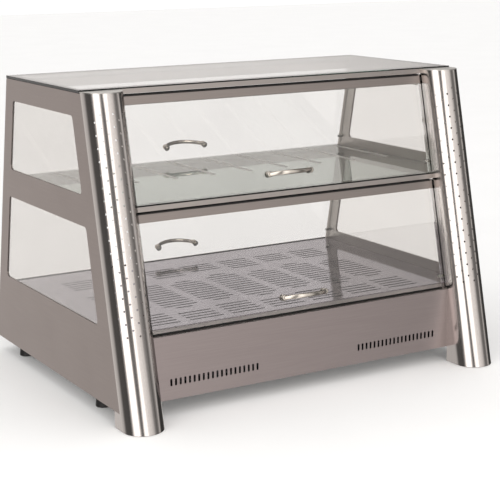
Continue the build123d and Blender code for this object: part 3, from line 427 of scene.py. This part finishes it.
places = {}
for face, side, inward in (("front", 0, SEAL_IN), ("rear", 1, -SEAL_IN)):
    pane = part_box(f"{face}_lower_door_glass")
    spot = Matrix.Translation((0, pane[side][1] + inward, SEAL_MID_Z))
    places[f"{face}_base_seal"] = spot @ Matrix.Scale(2 * pane[1][0] - SEAL_SHORT, 4, (1, 0, 0))
base_seal = rounded_bar("base_seal", (1, SEAL_DEEP, SEAL_THICK), SEAL_EDGE)
set_out(base_seal, places, "case", black_silicone)

# ---- Rear panel fixings and dial ------------------------------------------------------------
# Pan-head screws of bright steel, and a scale round the knob printed in black ink: eleven
# strokes with a longer one at each end.


REAR_FOOT_Y, BASE_BOTTOM_Z = 0.344, 0.033  # the rear panel's lower edge


def on_rear(x, z):
    """The place of a point on the leaning rear panel, with Z turned to look out of its face."""
    face_y = REAR_FOOT_Y - (z - BASE_BOTTOM_Z) * tan(LEAN)
    return Matrix.Translation((x, face_y, z)) @ Matrix.Rotation(LEAN - pi / 2, 4, "X")


SCREW_HEAD_R, SCREW_HEAD_T = 0.0042, 0.0016
SCREW_X, SCREW_Z = (-0.405, 0.08, 0.405), (0.052, 0.140)
bpy.ops.object.select_all(action="DESELECT")
bpy.ops.mesh.primitive_cylinder_add(vertices=32, radius=SCREW_HEAD_R, depth=SCREW_HEAD_T)
screw = bpy.context.object
bpy.ops.object.mode_set(mode="EDIT")
bpy.ops.mesh.select_all(action="SELECT")
bpy.ops.mesh.bevel(offset=0.0006, segments=3, affect="EDGES")
bpy.ops.object.mode_set(mode="OBJECT")
bpy.ops.object.shade_smooth_by_angle(angle=radians(40))
spots = [(x, z) for x in SCREW_X for z in SCREW_Z]
places = {f"rear_panel_screw_{i + 1}": on_rear(x, z) for i, (x, z) in enumerate(spots)}
set_out(screw, places, "case", spindle_steel)

KNOB_X, KNOB_Z = -0.300, 0.120
DIAL_R = 0.0205  # inner ends of the strokes
STROKE_WIDE, STROKE_LONG, STROKE_THICK = 0.0009, 0.0044, 0.0003
# Printed ink: flat black.
print_ink = moulded("black_pad_printed_ink", "151414", "0c0b0b", 0.5, bump=0.02)
stroke = rounded_bar("stroke", (STROKE_WIDE, STROKE_LONG, STROKE_THICK), 0.0001)
places = {}
for index in range(11):
    long = 1.6 if index in (0, 10) else 1.0
    outwards = Matrix.Translation((0, -DIAL_R - STROKE_LONG / 2 * long, 0))
    turned = Matrix.Rotation(radians(-135 + 27 * index), 4, "Z") @ outwards
    longer = Matrix.Scale(long, 4, (0, 1, 0))
    places[f"dial_mark_{index + 1}"] = on_rear(KNOB_X, KNOB_Z) @ turned @ longer
set_out(stroke, places, "case", print_ink)

# ---- Studio ---------------------------------------------------------------------------------
# A pale floor in a white room, lit by two large softboxes either side of the camera. Mirrors see
# the room's own bright and dark bands instead of the lamps.

bpy.ops.object.select_all(action="DESELECT")
bpy.ops.mesh.primitive_plane_add(size=30, location=(0, 0, 0))
floor = bpy.context.object
floor.name = "floor"
floor_paint, tree, out = fresh("pale_floor")
place = put(tree, "ShaderNodeTexCoord").outputs["Object"]
mottle = put(tree, "ShaderNodeTexNoise", [(place, "Vector")], Scale=3.0, Detail=3.0)
tone = put(tree, "ShaderNodeMix", [(mottle.outputs["Fac"], "Factor")], data_type="RGBA")
tone.inputs["A"].default_value = linear("f2f1f0")
tone.inputs["B"].default_value = linear("f7f6f5")
face = put(
    tree, "ShaderNodeBsdfPrincipled", [(tone.outputs["Result"], "Base Color")], Roughness=0.9
)
tree.links.new(face.outputs[0], out.inputs["Surface"])
floor.data.materials.append(floor_paint)
floor.visible_glossy = False

world = bpy.data.worlds.new("studio")
bpy.context.scene.world = world
world.use_nodes = True
tree = world.node_tree
tree.nodes.clear()
out = put(tree, "ShaderNodeOutputWorld")
way = put(tree, "ShaderNodeTexCoord").outputs["Generated"]
split = put(tree, "ShaderNodeSeparateXYZ", [(way, "Vector")])
left = put(tree, "ShaderNodeMath", [(split.outputs["X"], 0)], operation="MULTIPLY", i1=-1.0)
bearing = put(
    tree, "ShaderNodeMath", [(left.outputs[0], 0), (split.outputs["Y"], 1)], operation="ARCTAN2"
)
part = put(tree, "ShaderNodeMath", [(bearing.outputs[0], 0)], operation="MULTIPLY", i1=0.5 / pi)
turn = put(tree, "ShaderNodeMath", [(part.outputs[0], 0)], operation="FRACT")
# The room round the case as degrees and brightness, from behind it by way of its left, front and
# right to behind it again.
room = put(tree, "ShaderNodeValToRGB", [(turn.outputs[0], "Fac")])
ROOM = (
    (0, 0.95), (24, 0.8), (42, 0.62), (50, 0.4), (60, 0.12), (93, 0.1), (101, 0.42),
    (107, 1.6), (113, 2.6), (136, 2.6), (143, 0.9), (150, 0.22), (157, 0.22), (165, 2.2),
    (178, 2.4), (187, 1.3), (203, 1.1), (215, 0.85), (225, 0.36), (236, 0.18), (248, 0.4),
    (255, 0.9), (262, 0.2), (270, 0.05), (300, 0.06), (314, 0.4), (328, 0.85), (360, 0.95),
)
room.color_ramp.elements.remove(room.color_ramp.elements[1])
for index, (angle, level) in enumerate(ROOM):
    stop = room.color_ramp.elements[0] if index == 0 else room.color_ramp.elements.new(angle / 360)
    stop.position = angle / 360
    stop.color = (level, level * 0.96, level * 0.93, 1)
# The softboxes end above the floor, so in front of the case the room dims towards its foot.
dim = put(
    tree,
    "ShaderNodeMapRange",
    [(split.outputs["Z"], "Value")],
    From_Min=-0.3,
    From_Max=0.18,
    To_Min=0.75,
    To_Max=1.0,
)
rearward = put(tree, "ShaderNodeMath", [(split.outputs["Y"], 0)], operation="GREATER_THAN", i1=0.0)
level = put(
    tree, "ShaderNodeMath", [(dim.outputs[0], 0), (rearward.outputs[0], 1)], operation="MAXIMUM"
)
mirrored = put(
    tree, "ShaderNodeBackground", [(room.outputs["Color"], "Color"), (level.outputs[0], "Strength")]
)
plain = put(tree, "ShaderNodeBackground", Color=(1.0, 1.0, 1.0, 1.0), Strength=1.08)
path = put(tree, "ShaderNodeLightPath")
mixed = put(
    tree,
    "ShaderNodeMixShader",
    [(path.outputs["Is Glossy Ray"], 0), (plain.outputs[0], 1), (mirrored.outputs[0], 2)],
)
tree.links.new(mixed.outputs[0], out.inputs["Surface"])

LAMP_WIDE, LAMP_HIGH, LAMP_WATTS, LAMP_MID_Z = 1.75, 2.3, 24, 1.25
SOFTBOXES = (("left_softbox", 53, (-2.386, -1.754)), ("right_softbox", 1, (-0.434, -2.75)))
for name, bearing, (x, y) in SOFTBOXES:
    lamp = bpy.data.lights.new(name, "AREA")
    lamp.shape = "RECTANGLE"
    lamp.size = LAMP_WIDE
    lamp.size_y = LAMP_HIGH
    lamp.energy = LAMP_WATTS
    lamp.color = (1.0, 0.985, 0.955)
    holder = bpy.data.objects.new(name, lamp)
    holder.location = (x, y, LAMP_MID_Z)
    holder.rotation_euler = (radians(90), 0, -radians(bearing))
    holder.visible_glossy = False
    bpy.context.scene.collection.objects.link(holder)

# ---- Camera ---------------------------------------------------------------------------------
# A long lens in front of the case and to its left, a little above the roof and looking down.

LENS_MM, SENSOR_MM = 98.6544, 36.0
YAW, PITCH, ROLL = 0.5299, 0.2143, -0.0111  # radians
EYE = (-1.4329, -2.4835, 0.8756)
ahead = Vector((sin(YAW) * cos(PITCH), cos(YAW) * cos(PITCH), -sin(PITCH)))
across = Vector((cos(YAW), -sin(YAW), 0))
above = across.cross(ahead)
right = across * cos(ROLL) + above * sin(ROLL)
up = above * cos(ROLL) - across * sin(ROLL)
lens = bpy.data.cameras.new("camera")
lens.sensor_width = SENSOR_MM
lens.lens = LENS_MM
camera = bpy.data.objects.new("camera", lens)
turned = Matrix((right, up, -ahead)).transposed().to_4x4()
camera.matrix_world = Matrix.Translation(EYE) @ turned
bpy.context.scene.collection.objects.link(camera)
bpy.context.scene.camera = camera
bpy.context.scene.view_settings.view_transform = "Standard"
